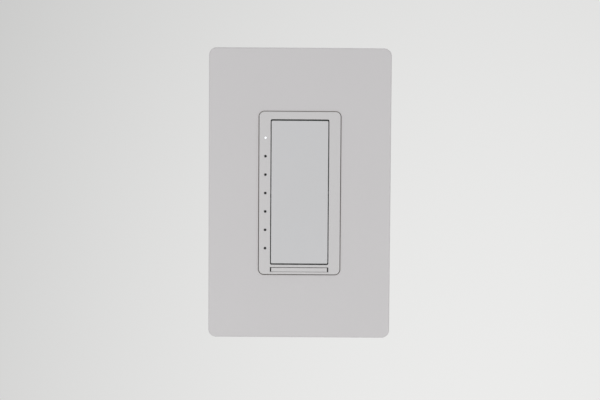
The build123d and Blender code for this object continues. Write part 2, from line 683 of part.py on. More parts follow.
def rocker():
    """Tall tap rocker: a shell with pivot pins at mid height and a foot over each dome."""
    shell = rounded(ROCKER_WIDTH, ROCKER_HEIGHT, ROCKER_CORNER, SKIRT_BACK, ROCKER_FRONT, ROCKER_Z)
    shell = fillet(front_edges(shell), ROCKER_EDGE)
    inner_width = ROCKER_WIDTH - 2 * ROCKER_SKIRT_WALL
    inner_height = ROCKER_HEIGHT - 2 * ROCKER_SKIRT_WALL
    cavity = block(inner_width, inner_height, SKIRT_BACK, ROCKER_BACK, 0, ROCKER_Z)
    first_rib = ROCKER_Z - ROCKER_RIB_PITCH * (ROCKER_RIB_COUNT - 1) / 2
    for i in range(ROCKER_RIB_COUNT):
        rib_z = first_rib + ROCKER_RIB_PITCH * i
        cavity -= block(inner_width, ROCKER_RIB, ROCKER_BACK - ROCKER_RIB_DEPTH, ROCKER_BACK, 0, rib_z)
    shell -= cavity
    for end in ENDS:
        shell += post(FOOT_RADIUS, DOME_FRONT + FOOT_PLAY, ROCKER_BACK, 0, ROCKER_Z + end * FOOT_REACH)
    ear_height = 2 * (PIVOT_RADIUS + PIVOT_WALL)
    for side in ENDS:
        ear_x = side * (ROCKER_WIDTH - ROCKER_SKIRT_WALL) / 2
        shell += block(ROCKER_SKIRT_WALL, ear_height, PIVOT_LIFT - PIVOT_RADIUS, ROCKER_BACK, ear_x, ROCKER_Z)
        left, right = sorted((ear_x, side * BRACKET_OUTER))
        shell += pin_along_x(PIVOT_RADIUS, left, right, PIVOT_LIFT, ROCKER_Z)
    return shell


def light_pipe():
    """Comb of light guides: a rail behind the bezel with a pin through each hole and one to each LED."""
    comb = block(PIPE_RAIL, 2 * LIGHT_END + PIPE_RAIL, RAIL_BACK, BEZEL_BACK, LIGHT_X)
    pin = LIGHT_HOLE - PIPE_PLAY
    for z in LIGHT_ROWS:
        comb += post(pin, PIPE_BACK, BEZEL_FRONT - PIPE_RECESS, LIGHT_X, z)
    return comb


def air_gap_tab():
    """Pull tab: a bar in the bezel's slot on a flat stem that runs back through the yoke."""
    bar = block(TAB_WIDTH, TAB_HEIGHT, TAB_BACK, BEZEL_FRONT, 0, TAB_Z)
    bar = fillet(front_edges(bar), TAB_EDGE)
    return bar + block(STEM_WIDTH, TAB_HEIGHT, STEM_END, TAB_BACK, 0, TAB_Z)


# Air-gap switch behind the yoke


def bridge_carrier():
    """Insulating block pressed on the stem's end, which stops against the yoke when pulled."""
    carrier = block(CARRIER_WIDTH, CARRIER_HEIGHT, CARRIER_BACK, CARRIER_FRONT, 0, TAB_Z)
    width = STEM_WIDTH + 2 * CARRIER_PLAY
    return carrier - block(width, TAB_HEIGHT + 2 * CARRIER_PLAY, STEM_END, CARRIER_FRONT, 0, TAB_Z)


def contact_bridge():
    """Brass strip on the carrier that joins the two fixed contacts."""
    return block(BRIDGE_WIDTH, BRIDGE_HEIGHT, BRIDGE_BACK, CARRIER_BACK, 0, TAB_Z)


def fixed_contacts():
    """Two brass contacts that stand on the power board and meet the bridge."""
    pad_back = BRIDGE_BACK - CONTACT_THICKNESS
    contact = block(CONTACT_WIDTH, BRIDGE_HEIGHT, pad_back, BRIDGE_BACK, 0, TAB_Z)
    contact += block(CONTACT_WIDTH, CONTACT_THICKNESS, POWER_FRONT, pad_back, 0, TAB_Z)
    contact += block(CONTACT_WIDTH, BRIDGE_HEIGHT, POWER_FRONT, POWER_FRONT + CONTACT_THICKNESS, 0, TAB_Z)
    return [Pos(side * CONTACT_PITCH / 2, 0, 0) * contact for side in ENDS]


# Control board and what lies on it


def stem_slot():
    """Outline of the room that the tab's stem needs in a sheet that it passes."""
    return Pos(0, TAB_Z) * Rectangle(STEM_WIDTH + 2 * STEM_PLAY, TAB_HEIGHT + 2 * STEM_PLAY)


def header_slot():
    """Outline of the room that the header's spacer needs in a sheet that it passes."""
    return Pos(0, HEADER_Z) * Rectangle(SPACER_WIDTH + 2 * SPACER_PLAY, SPACER_HEIGHT + 2 * SPACER_PLAY)


def board_outline():
    """Outline of the control board: cut away at the bezel's bosses and at the tab's stem."""
    outline = Rectangle(BOARD_WIDTH, BOARD_HEIGHT)
    notch = 2 * (BOSS_RADIUS + BOSS_PLAY)
    for x, z in CORNERS:
        outline -= Pos(x, z) * Rectangle(notch, notch)
    return outline - stem_slot()


def insulator_sheet():
    """Fibre sheet between the yoke and the control board."""
    return slab(board_outline() - header_slot(), YOKE_THICKNESS, CONTROL_BACK)


def control_board():
    """Circuit board with the LEDs, the processor and the two tap contacts."""
    outline = board_outline()
    for x in HEADER_COLUMNS:
        outline -= Pos(x, HEADER_Z) * Circle(HEADER_HOLE)
    return slab(outline, CONTROL_BACK, CONTROL_FRONT)


def status_leds():
    """One LED under each light guide."""
    front = CONTROL_FRONT + LED_HEIGHT
    return [block(LED_WIDTH, LED_LENGTH, CONTROL_FRONT, front, LIGHT_X, z) for z in LIGHT_ROWS]


def controller_chip():
    """Processor on the control board, under the rocker's middle."""
    chip = block(CHIP_SIZE, CHIP_SIZE, CONTROL_FRONT, CONTROL_FRONT + CHIP_HEIGHT, 0, ROCKER_Z)
    return chamfer(front_edges(chip), CHIP_EDGE)


def dome_mat():
    """Silicone mat with a hollow dome under each of the rocker's feet."""
    length = 2 * (FOOT_REACH + MAT_MARGIN)
    window = CHIP_SIZE + 2 * MAT_WINDOW_PLAY
    mat = rounded(MAT_WIDTH, length, MAT_CORNER, CONTROL_FRONT, MAT_FRONT, ROCKER_Z)
    mat -= block(window, window, CONTROL_FRONT, MAT_FRONT, 0, ROCKER_Z)
    dome = cone_at_origin(DOME_BASE_RADIUS, DOME_TOP_RADIUS, DOME_HEIGHT)
    for end in ENDS:
        dome_z = ROCKER_Z + end * FOOT_REACH
        mat += Pos(0, -DOME_FRONT, dome_z) * dome
        mat -= post(DOME_HOLLOW, CONTROL_FRONT, DOME_FRONT - DOME_CROWN, 0, dome_z)
    return mat


def header_pins():
    """Square pins between the control board and the power board."""
    back = POWER_BACK - HEADER_TAIL
    front = CONTROL_FRONT + HEADER_TAIL
    return [block(HEADER_PIN, HEADER_PIN, back, front, x, HEADER_Z) for x in HEADER_COLUMNS]


def header_spacer():
    """Plastic body that carries the pins through the yoke."""
    body = block(SPACER_WIDTH, SPACER_HEIGHT, -SPACER_BACK, CONTROL_BACK, 0, HEADER_Z)
    hole = HEADER_PIN + 2 * THREAD_PLAY
    for x in HEADER_COLUMNS:
        body -= block(hole, hole, -SPACER_BACK, CONTROL_BACK, x, HEADER_Z)
    return body


# Rear housing and terminals


def terminal_form(side, z, play):
    """A side terminal: a plate on the housing's side with a tail that turns in over the power board."""
    wall_x = HOUSING_WIDTH / 2
    plate_x = side * (wall_x - TERMINAL_THICKNESS / 2)
    lap_end = POWER_WIDTH / 2 - TERMINAL_LAP - play
    lap_x = side * (wall_x + lap_end) / 2
    width = TERMINAL_WIDTH + 2 * play
    tail_width = TERMINAL_TAIL_WIDTH + 2 * play
    lap_front = POWER_FRONT + TERMINAL_THICKNESS + play
    form = block(TERMINAL_THICKNESS, width, TERMINAL_BACK - play, TERMINAL_FRONT + play, plate_x, z)
    form += block(TERMINAL_THICKNESS, tail_width, POWER_FRONT - play, TERMINAL_BACK, plate_x, z)
    return form + block(wall_x - lap_end, tail_width, POWER_FRONT - play, lap_front, lap_x, z)


def terminal_bore(side, z, play):
    """The hole for a terminal's screw, from the housing's side to past its wall."""
    near = side * HOUSING_WIDTH / 2
    far = side * (HOUSING_INNER_WIDTH / 2)
    left, right = sorted((near, far))
    return pin_along_x(MACHINE_RADIUS + play, left, right, TERMINAL_MID, z)


def terminal_barriers(side, z):
    """Two ribs beside a terminal that keep its wire in place."""
    reach = HOUSING_WALL + BARRIER_HEIGHT
    x = side * (HOUSING_INNER_WIDTH + reach) / 2
    offset = (TERMINAL_WIDTH + BARRIER_THICKNESS) / 2 + TERMINAL_PLAY
    ribs = block(reach, BARRIER_THICKNESS, TERMINAL_BACK, TERMINAL_FRONT, x, z + offset)
    return ribs + block(reach, BARRIER_THICKNESS, TERMINAL_BACK, TERMINAL_FRONT, x, z - offset)


def rear_housing():
    """Deep moulded box behind the yoke, with screw towers, board standoffs and terminal pockets."""
    shell = rounded(HOUSING_WIDTH, HOUSING_HEIGHT, HOUSING_CORNER, -HOUSING_DEPTH, 0)
    shell = fillet(back_edges(shell), HOUSING_EDGE)
    inner_corner = HOUSING_CORNER - HOUSING_WALL
    cavity = rounded(HOUSING_INNER_WIDTH, HOUSING_INNER_HEIGHT, inner_corner, HOUSING_FLOOR, 0)
    for x, z in CORNERS:
        cavity -= post(TOWER_RADIUS, HOUSING_FLOOR, 0, x, z)
    for x, z in STANDOFFS:
        cavity -= post(STANDOFF_RADIUS, HOUSING_FLOOR, POWER_BACK, x, z)
    shell -= cavity
    for x, z in CORNERS:
        shell -= post(CASE_RADIUS + CASE_PLAY, SINK_FLOOR, 0, x, z)
        shell -= post(CASE_HEAD + SINK_PLAY, -HOUSING_DEPTH, SINK_FLOOR, x, z)
    shell -= rounded(PANEL_WIDTH, PANEL_HEIGHT, PANEL_CORNER, -HOUSING_DEPTH, PANEL_DEPTH - HOUSING_DEPTH)
    for side, z in TERMINALS:
        shell += terminal_barriers(side, z)
        shell -= terminal_form(side, z, TERMINAL_PLAY)
        shell -= terminal_bore(side, z, TERMINAL_PLAY)
    return shell


def housing_screws():
    """Four screws from behind through the housing's towers and the yoke into the bezel."""
    length = YOKE_THICKNESS + CASE_BITE - SINK_FLOOR
    screw = Rot(0, 0, 180) * pan_screw(CASE_HEAD, CASE_HEAD_HEIGHT, CASE_RADIUS, length)
    return [Pos(x, -SINK_FLOOR, z) * screw for x, z in CORNERS]


def terminal_plates():
    """Brass plates of the side terminals."""
    return [terminal_form(side, z, 0) - terminal_bore(side, z, THREAD_PLAY) for side, z in TERMINALS]


def terminal_screws():
    """Screws that clamp the supply wires to the terminal plates."""
    length = TERMINAL_THICKNESS + TERMINAL_SCREW_TAIL
    screw = pan_screw(MACHINE_HEAD, MACHINE_HEAD_HEIGHT, MACHINE_RADIUS, length)
    wall_x = HOUSING_WIDTH / 2
    return [Pos(side * wall_x, -TERMINAL_MID, z) * Rot(0, 0, 90 * side) * screw for side, z in TERMINALS]


# Power board and its components


def power_board():
    """Circuit board in the housing, cut away at the screw towers."""
    outline = Rectangle(POWER_WIDTH, POWER_HEIGHT)
    notch = 2 * (TOWER_RADIUS + POWER_PLAY)
    for x, z in CORNERS:
        outline -= Pos(x, z) * Rectangle(notch, notch)
    for x in HEADER_COLUMNS:
        outline -= Pos(x, HEADER_Z) * Circle(HEADER_HOLE)
    for x in LEAD_COLUMNS:
        outline -= Pos(x, LEAD_Z) * Circle(LEAD_HOLE)
    return slab(outline, POWER_BACK, POWER_FRONT)


def thermal_pad():
    """Thin insulating pad between the triac and the yoke."""
    height = TRIAC_BODY + TRIAC_TAB + 2 * PAD_MARGIN
    pad_z = TRIAC_Z + (TRIAC_BODY + TRIAC_TAB) / 2
    pad = block(TRIAC_WIDTH + 2 * PAD_MARGIN, height, TRIAC_FRONT, 0, 0, pad_z)
    return pad - post(SMALL_RADIUS + THREAD_PLAY, TRIAC_FRONT, 0, 0, TRIAC_HOLE_Z)


def triac():
    """Power switch: a moulded body on a metal tab, with three leads bent back to the power board."""
    height = TRIAC_BODY + TRIAC_TAB
    device = block(TRIAC_WIDTH, height, TRIAC_TAB_BACK, TRIAC_FRONT, 0, TRIAC_Z + height / 2)
    device -= post(SMALL_RADIUS + CASE_PLAY, TRIAC_TAB_BACK, TRIAC_FRONT, 0, TRIAC_HOLE_Z)
    body_z = TRIAC_Z + TRIAC_BODY / 2
    device += block(TRIAC_WIDTH, TRIAC_BODY, TRIAC_FRONT - TRIAC_DEPTH, TRIAC_TAB_BACK, 0, body_z)
    run_front = LEAD_LIFT + LEAD_THICKNESS / 2
    run_length = LEAD_RUN + LEAD_THICKNESS / 2
    for x in LEAD_COLUMNS:
        run_z = TRIAC_Z - run_length / 2
        device += block(LEAD_WIDTH, run_length, run_front - LEAD_THICKNESS, run_front, x, run_z)
        device += block(LEAD_WIDTH, LEAD_THICKNESS, POWER_BACK - LEAD_TAIL, run_front, x, LEAD_Z)
    return device


def triac_screw():
    """Screw that clamps the triac to the yoke from behind."""
    length = YOKE_THICKNESS - SMALL_STOP - TRIAC_TAB_BACK
    screw = Rot(0, 0, 180) * pan_screw(SMALL_HEAD, SMALL_HEAD_HEIGHT, SMALL_RADIUS, length)
    return Pos(0, -TRIAC_TAB_BACK, TRIAC_HOLE_Z) * screw


def choke_core():
    """Ferrite ring of the suppression choke."""
    front = CHOKE_BACK + CHOKE_HEIGHT
    ring = slab(Pos(CHOKE_X, CHOKE_Z) * (Circle(CHOKE_RADIUS) - Circle(CHOKE_HOLE)), CHOKE_BACK, front)
    return chamfer(ring.edges().filter_by(GeomType.CIRCLE), CHOKE_EDGE)


def choke_winding():
    """Turns of enamelled wire round the choke's ring."""
    section = CHOKE_RADIUS - CHOKE_HOLE
    inside = 2 * WIRE_PLAY
    outside = 2 * (WIRE_PLAY + WIRE)
    turn = Rectangle(section + outside, CHOKE_HEIGHT + outside)
    turn -= Rectangle(section + inside, CHOKE_HEIGHT + inside)
    turn = Pos((CHOKE_RADIUS + CHOKE_HOLE) / 2, -CHOKE_MID) * turn
    loop = extrude(turn, WIRE / 2, both=True)
    place = Pos(CHOKE_X, 0, CHOKE_Z)
    return [place * Rot(0, 360 / WINDING_TURNS * i, 0) * loop for i in range(WINDING_TURNS)]


def film_capacitor():
    """Boxed film capacitor of the filter."""
    box = block(FILM_WIDTH, FILM_LENGTH, POWER_FRONT, POWER_FRONT + FILM_HEIGHT, FILM_X, FILM_Z)
    return chamfer(front_edges(box) + box.edges().filter_by(Axis.Y), FILM_EDGE)


def filter_capacitor():
    """Electrolytic can with a crimped groove near its foot."""
    can = post(CAN_RADIUS, POWER_FRONT, POWER_FRONT + CAN_HEIGHT, CAN_X, CAN_Z)
    can = chamfer(front_edges(can), CAN_EDGE)
    groove_lift = POWER_FRONT + CAN_GROOVE_LIFT
    groove = post(CAN_RADIUS, groove_lift - CAN_GROOVE, groove_lift + CAN_GROOVE, CAN_X, CAN_Z)
    core = post(CAN_RADIUS - CAN_GROOVE, groove_lift - CAN_GROOVE, groove_lift + CAN_GROOVE, CAN_X, CAN_Z)
    return can - (groove - core)


def fuse():
    """Round radial fuse."""
    body = post(FUSE_RADIUS, POWER_FRONT, POWER_FRONT + FUSE_HEIGHT, FUSE_X, FUSE_Z)
    return chamfer(front_edges(body), FUSE_EDGE)


def varistor():
    """Coated disc on two leads that stands on edge."""
    left = VARISTOR_X - VARISTOR_THICKNESS / 2
    lift = POWER_FRONT + VARISTOR_STAND + VARISTOR_RADIUS
    disc = pin_along_x(VARISTOR_RADIUS, left, left + VARISTOR_THICKNESS, lift, VARISTOR_Z)
    disc = chamfer(disc.edges().filter_by(GeomType.CIRCLE), VARISTOR_EDGE)
    for end in ENDS:
        lead_z = VARISTOR_Z + end * VARISTOR_LEAD_SPACING / 2
        disc += post(VARISTOR_LEAD, POWER_FRONT, lift, VARISTOR_X, lead_z)
    return disc


PIECES = (
    cover_plate,
    sub_plate,
    sub_plate_screws,
    mounting_yoke,
    box_screws,
    ground_screw,
    bezel,
    rocker,
    light_pipe,
    air_gap_tab,
    bridge_carrier,
    contact_bridge,
    fixed_contacts,
    insulator_sheet,
    control_board,
    status_leds,
    controller_chip,
    dome_mat,
    header_pins,
    header_spacer,
    rear_housing,
    housing_screws,
    terminal_plates,
    terminal_screws,
    power_board,
    thermal_pad,
    triac,
    triac_screw,
    choke_core,
    choke_winding,
    film_capacitor,
    filter_capacitor,
    fuse,
    varistor,
)

os.makedirs("parts", exist_ok=True)
for piece in PIECES:
    shape = piece()
    if isinstance(shape, list):
        shape = Compound(children=shape)
    export_step(shape, f"parts/{piece.__name__}.step")
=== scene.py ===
"""Looks of the in-wall lighting control: its finishes, screws, light windows, camera and light."""

import math

import bmesh
import bpy
from mathutils import Matrix, Vector


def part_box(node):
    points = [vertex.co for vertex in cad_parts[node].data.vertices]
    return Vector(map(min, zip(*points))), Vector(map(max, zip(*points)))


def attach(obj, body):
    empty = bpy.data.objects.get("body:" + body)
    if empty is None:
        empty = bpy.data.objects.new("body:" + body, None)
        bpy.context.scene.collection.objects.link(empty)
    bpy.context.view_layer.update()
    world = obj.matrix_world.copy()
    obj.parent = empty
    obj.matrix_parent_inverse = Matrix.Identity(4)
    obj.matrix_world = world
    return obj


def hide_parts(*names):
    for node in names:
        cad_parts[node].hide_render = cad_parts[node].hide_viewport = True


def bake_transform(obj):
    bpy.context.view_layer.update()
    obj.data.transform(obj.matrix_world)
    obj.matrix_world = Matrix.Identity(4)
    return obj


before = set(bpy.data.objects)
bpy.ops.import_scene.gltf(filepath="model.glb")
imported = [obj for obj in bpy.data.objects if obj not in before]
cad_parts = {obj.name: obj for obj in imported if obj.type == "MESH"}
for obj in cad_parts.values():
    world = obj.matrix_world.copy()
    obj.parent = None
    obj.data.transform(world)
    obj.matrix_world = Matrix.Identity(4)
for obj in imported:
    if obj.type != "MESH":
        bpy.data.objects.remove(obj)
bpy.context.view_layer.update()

MM = 0.001
SMOOTH_ANGLE = math.radians(32)


# Finishes: the sizes of their patterns are in millimetres

# A colour mix's sockets share their names with those of other mixes, so they go by number.
MIX_SHARE = 0
MIX_FIRST = 6
MIX_SECOND = 7
MIX_RESULT = 2

# Corners that little light reaches, darkened as painted shade, with a tan tint in the plate's joint: how
# far it spreads from them, and the rays that find them.
JOINT_REACH = 0.45
RECESS_REACH = 1.2
CORNER_RAYS = 8

# Mouldings: the drift of their tone and the soft clouds in their sheen.
FLOW_SIZE = 22
SHEEN_CLOUD = 5
SHEEN_SPREAD = 0.05

# Metals: how much smoother and duller their lines are than the rest, and how deep.
LINE_SHINE = 0.08
LINE_DULLNESS = 0.1
LINE_DEPTH = 0.01

# Circuit boards: copper runs on the usual grid, and the weave of the glass.
RUN_WIDTH = 0.3
RUN_LENGTH = 7.62
RUN_PITCH = 2.54
WEAVE = 0.5
WEAVE_DEPTH = 0.03

ABS_IOR = 1.54
POLYCARBONATE_IOR = 1.585
EPOXY_IOR = 1.55


def linear(code):
    """An sRGB hex colour as linear red, green, blue and alpha."""
    channels = [int(code[i : i + 2], 16) / 255 for i in (1, 3, 5)]
    return [c / 12.92 if c <= 0.04045 else ((c + 0.055) / 1.055) ** 2.4 for c in channels] + [1]


def per_metre(size):
    """The texture scale at which a pattern's features are this size, in millimetres."""
    return 1 / (size * MM)


def add(tree, kind, settings, links):
    """A node with its settings, and with its inputs linked from other nodes' outputs.

    Inputs that share a name go by their number.
    """
    node = tree.nodes.new("ShaderNode" + kind)
    for name, value in settings.items():
        if isinstance(name, int) or name in node.inputs:
            node.inputs[name].default_value = value
        else:
            setattr(node, name, value)
    for name, output in links.items():
        tree.links.new(output, node.inputs[name])
    return node


def start_finish(name, settings):
    """A material with its plain settings.

    Gives also its tree, its shader and the place on the part, in metres.
    """
    finish = bpy.data.materials.new(name)
    finish.use_nodes = True
    tree = finish.node_tree
    shader = tree.nodes["Principled BSDF"]
    for socket, value in settings.items():
        shader.inputs[socket].default_value = value
    place = add(tree, "TexCoord", {}, {}).outputs["Object"]
    return finish, tree, shader, place


def shade_corners(tree, tone, grime_and_shade, reach):
    """The tone darkened as painted shade in the corners, where little light reaches, within this distance
    in millimetres.
    """
    openness = add(tree, "AmbientOcclusion", {"samples": CORNER_RAYS, "Distance": reach * MM}, {})
    corner_shaded = add(
        tree,
        "Mix",
        {"data_type": "RGBA", MIX_FIRST: linear(grime_and_shade)},
        {MIX_SHARE: openness.outputs["AO"], MIX_SECOND: tone},
    )
    return corner_shaded.outputs[MIX_RESULT]


def moulded(name, colour, shade, roughness, ior, grain, relief, grime_and_shade=None):
    """Moulded plastic with the fine grain that a spark-eroded mould leaves.

    The grain breaks up the gloss, the tone drifts a little where the melt flowed, and the
    sheen varies in soft clouds. If a corner colour is given, its joints darken towards it as
    painted shade, tinted like grime. Real grain is some hundredths of a millimetre wide, too
    fine to show, so it is drawn coarser. Grain and relief, its depth, are in millimetres.
    """
    finish, tree, shader, place = start_finish(name, {"IOR": ior})
    flow = add(tree, "TexNoise", {"Scale": per_metre(FLOW_SIZE), "Detail": 2}, {"Vector": place})
    tone = add(
        tree,
        "Mix",
        {"data_type": "RGBA", MIX_FIRST: linear(colour), MIX_SECOND: linear(shade)},
        {MIX_SHARE: flow.outputs["Fac"]},
    ).outputs[MIX_RESULT]
    # Painted shade, tinted tan like grime: the joints darken where little light reaches.
    if grime_and_shade:
        tone = shade_corners(tree, tone, grime_and_shade, JOINT_REACH)
    cloud = add(tree, "TexNoise", {"Scale": per_metre(SHEEN_CLOUD), "Detail": 4}, {"Vector": place})
    sheen = add(
        tree,
        "MapRange",
        {
            "From Min": 0.3,
            "From Max": 0.7,
            "To Min": roughness - SHEEN_SPREAD,
            "To Max": roughness + SHEEN_SPREAD,
        },
        {"Value": cloud.outputs["Fac"]},
    )
    pits = add(tree, "TexNoise", {"Scale": per_metre(grain), "Detail": 3}, {"Vector": place})
    bump = add(
        tree,
        "Bump",
        {"Strength": 0.6, "Distance": relief * MM},
        {"Height": pits.outputs["Fac"]},
    )
    tree.links.new(tone, shader.inputs["Base Color"])
    tree.links.new(sheen.outputs["Result"], shader.inputs["Roughness"])
    tree.links.new(bump.outputs["Normal"], shader.inputs["Normal"])
    return finish


def worked_metal(name, colour, shade, recess_shade, roughness, grain, cloud):
    """Bare or plated metal whose fine grain runs one way, with soft clouds in its polish.

    Slots and the spaces between threads darken as painted shade. Real lines are finer than a
    tenth of a millimetre, too fine to show, so they are drawn coarser. Grain is their size along
    X, Y and Z, and cloud that of the clouds, in millimetres.
    """
    finish, tree, shader, place = start_finish(name, {"Metallic": 1})
    stretch = add(tree, "Mapping", {"Scale": [per_metre(size) for size in grain]}, {"Vector": place})
    lines = add(tree, "TexNoise", {"Scale": 1, "Detail": 4}, {"Vector": stretch.outputs["Vector"]})
    clouds = add(tree, "TexNoise", {"Scale": per_metre(cloud), "Detail": 4}, {"Vector": place})
    wear = add(tree, "Mix", {"Factor": 0.5}, {"A": lines.outputs["Fac"], "B": clouds.outputs["Fac"]})
    worn = add(tree, "MapRange", {"From Min": 0.35, "From Max": 0.65}, {"Value": wear.outputs["Result"]})
    tone = add(
        tree,
        "Mix",
        {"data_type": "RGBA", MIX_FIRST: linear(colour), MIX_SECOND: linear(shade)},
        {MIX_SHARE: worn.outputs["Result"]},
    ).outputs[MIX_RESULT]
    # Painted shade: the tone darkens in slots and between threads, where little light reaches.
    tone = shade_corners(tree, tone, recess_shade, RECESS_REACH)
    polish = add(
        tree,
        "MapRange",
        {
            "From Min": 0.25,
            "From Max": 0.75,
            "To Min": roughness - LINE_SHINE,
            "To Max": roughness + LINE_DULLNESS,
        },
        {"Value": lines.outputs["Fac"]},
    )
    bump = add(
        tree,
        "Bump",
        {"Strength": 0.4, "Distance": LINE_DEPTH * MM},
        {"Height": lines.outputs["Fac"]},
    )
    tree.links.new(tone, shader.inputs["Base Color"])
    tree.links.new(polish.outputs["Result"], shader.inputs["Roughness"])
    tree.links.new(bump.outputs["Normal"], shader.inputs["Normal"])
    return finish


def glass_epoxy(name, mask, mask_shade, run):
    """Glass-epoxy circuit board under solder mask, with the copper runs paler than the rest."""
    finish, tree, shader, place = start_finish(name, {"IOR": 1.5, "Roughness": 0.35})
    upright = add(tree, "Mapping", {"Rotation": (math.pi / 2, 0, 0)}, {"Vector": place})
    runs = add(
        tree,
        "TexBrick",
        {
            "Scale": 1,
            "Mortar Size": RUN_WIDTH / 2 * MM,
            "Brick Width": RUN_LENGTH * MM,
            "Row Height": RUN_PITCH * MM,
            "Color1": linear(mask),
            "Color2": linear(mask_shade),
            "Mortar": linear(run),
        },
        {"Vector": upright.outputs["Vector"]},
    )
    weave = add(tree, "TexNoise", {"Scale": per_metre(WEAVE), "Detail": 2}, {"Vector": place})
    bump = add(
        tree,
        "Bump",
        {"Strength": 0.3, "Distance": WEAVE_DEPTH * MM},
        {"Height": weave.outputs["Fac"]},
    )
    tree.links.new(runs.outputs["Color"], shader.inputs["Base Color"])
    tree.links.new(bump.outputs["Normal"], shader.inputs["Normal"])
    return finish


def clear_polycarbonate(name, settings, cloud, clearest, haziest):
    """Clear polycarbonate, hazed from clearest to haziest by flow clouds of this size in millimetres."""
    finish, tree, shader, place = start_finish(name, {"IOR": POLYCARBONATE_IOR, **settings})
    clouds = add(tree, "TexNoise", {"Scale": per_metre(cloud), "Detail": 2}, {"Vector": place})
    haze = add(tree, "MapRange", {"To Min": clearest, "To Max": haziest}, {"Value": clouds.outputs["Fac"]})
    tree.links.new(haze.outputs["Result"], shader.inputs["Roughness"])
    return finish


# ABS wall plate: pale grey with a faint lavender cast, an even satin that shows no grain from afar,
# and painted shade, tinted tan like grime, in the joint round the insert.
plate_abs = moulded(
    "moulded ABS, plate grey",
    colour="#C8C6C7",
    shade="#C6C4C5",
    roughness=0.46,
    ior=ABS_IOR,
    grain=0.45,
    relief=0.006,
    grime_and_shade="#6E5532",
)
# Polycarbonate insert and tab: the same satin in a plainer grey.
bezel_polycarbonate = moulded(
    "moulded polycarbonate, grey",
    colour="#C7C5C6",
    shade="#C6C5C5",
    roughness=0.42,
    ior=POLYCARBONATE_IOR,
    grain=0.4,
    relief=0.005,
)
# Polycarbonate rocker: a touch cooler and smoother than the insert round it.
rocker_polycarbonate = moulded(
    "moulded polycarbonate, cool grey",
    colour="#C6C6C8",
    shade="#C5C5C6",
    roughness=0.4,
    ior=POLYCARBONATE_IOR,
    grain=0.4,
    relief=0.005,
)
# ABS frame behind the plate: off-white, plainer and shinier than what is seen in use.
frame_abs = moulded(
    "moulded ABS, off-white",
    colour="#DAD9D4",
    shade="#D3D2CD",
    roughness=0.38,
    ior=ABS_IOR,
    grain=0.8,
    relief=0.006,
)
# Glass-filled polyester housing: near black, dull, with a coarse pebble and paler flow clouds.
housing_polyester = moulded(
    "moulded glass-filled polyester, black",
    colour="#1A1A1C",
    shade="#2F2F32",
    roughness=0.52,
    ior=1.55,
    grain=1.1,
    relief=0.3,
)
# Phenolic and epoxy mouldings of the inner parts: black and dull.
black_phenolic = moulded(
    "moulded phenolic, black",
    colour="#161617",
    shade="#202021",
    roughness=0.5,
    ior=1.6,
    grain=0.5,
    relief=0.015,
)
# Smoked polycarbonate ends of the light guides: they look black until their LED is lit.
smoked_polycarbonate = moulded(
    "moulded polycarbonate, smoked",
    colour="#101113",
    shade="#18191C",
    roughness=0.16,
    ior=POLYCARBONATE_IOR,
    grain=0.4,
    relief=0.001,
)
# Silicone of the key mat and the thermal pad: mid grey and dry.
silicone_rubber = moulded(
    "moulded silicone rubber",
    colour="#6C6E70",
    shade="#626466",
    roughness=0.62,
    ior=1.41,
    grain=0.6,
    relief=0.01,
)
# Pressed fibre sheet: dark grey, matt and slightly mottled.
pressed_fibre = moulded(
    "pressed fibre",
    colour="#39393B",
    shade="#2C2C2E",
    roughness=0.75,
    ior=1.5,
    grain=0.35,
    relief=0.03,
)
# Potting epoxy of the film capacitor: mustard yellow with a soft gloss.
yellow_epoxy = moulded(
    "epoxy box, yellow",
    colour="#C99A2C",
    shade="#BC8C22",
    roughness=0.35,
    ior=EPOXY_IOR,
    grain=1.2,
    relief=0.01,
)
# Dipped epoxy of the varistor: blue, glossy and slightly uneven.
blue_epoxy = moulded(
    "dipped epoxy, blue",
    colour="#2A5590",
    shade="#234A82",
    roughness=0.28,
    ior=EPOXY_IOR,
    grain=2.0,
    relief=0.06,
)
# Shrink sleeve on the aluminium can: dark blue and glossy.
shrink_sleeve = moulded(
    "shrink sleeve, dark blue",
    colour="#1C2133",
    shade="#232A40",
    roughness=0.3,
    ior=1.5,
    grain=1.5,
    relief=0.02,
)
# Coated ferrite: charcoal, with the small pores of a pressed and fired core.
coated_ferrite = moulded(
    "pressed ferrite, coated",
    colour="#3B3B3D",
    shade="#2E2E30",
    roughness=0.55,
    ior=1.6,
    grain=0.3,
    relief=0.03,
)
# Epoxy of the LED chips: pale yellow from the phosphor.
led_epoxy = moulded(
    "LED epoxy, phosphor yellow",
    colour="#E4D98F",
    shade="#DCCF7C",
    roughness=0.25,
    ior=1.5,
    grain=0.3,
    relief=0.004,
)
# Metals below: the third colour of each is painted shade, darkening slots, threads and other recesses.
# Rolled aluminium of the yoke: bright grey with rolling lines along its height.
rolled_aluminium = worked_metal(
    "rolled aluminium",
    colour="#D3D5D6",
    shade="#B9BBBD",
    recess_shade="#6D6F70",
    roughness=0.36,
    grain=(0.35, 0.35, 9),
    cloud=7,
)
# Zinc-plated steel screws: bluish silver, with a fine turned grain.
zinc_steel = worked_metal(
    "zinc-plated steel",
    colour="#CDD0D3",
    shade="#AEB2B8",
    recess_shade="#3C3D3F",
    roughness=0.3,
    grain=(0.6, 0.25, 0.6),
    cloud=1.5,
)
# Green-plated steel of the ground screw: the plating's colour over a turned grain.
green_steel = worked_metal(
    "green-plated steel",
    colour="#2F8A4C",
    shade="#1F6B39",
    recess_shade="#0C2A16",
    roughness=0.32,
    grain=(0.25, 0.6, 0.6),
    cloud=1.5,
)
# Brass of the terminals: warm yellow, dulled in patches by handling.
terminal_brass = worked_metal(
    "rolled brass",
    colour="#D7B465",
    shade="#B48C42",
    recess_shade="#4A3414",
    roughness=0.3,
    grain=(0.5, 0.5, 4),
    cloud=2.5,
)
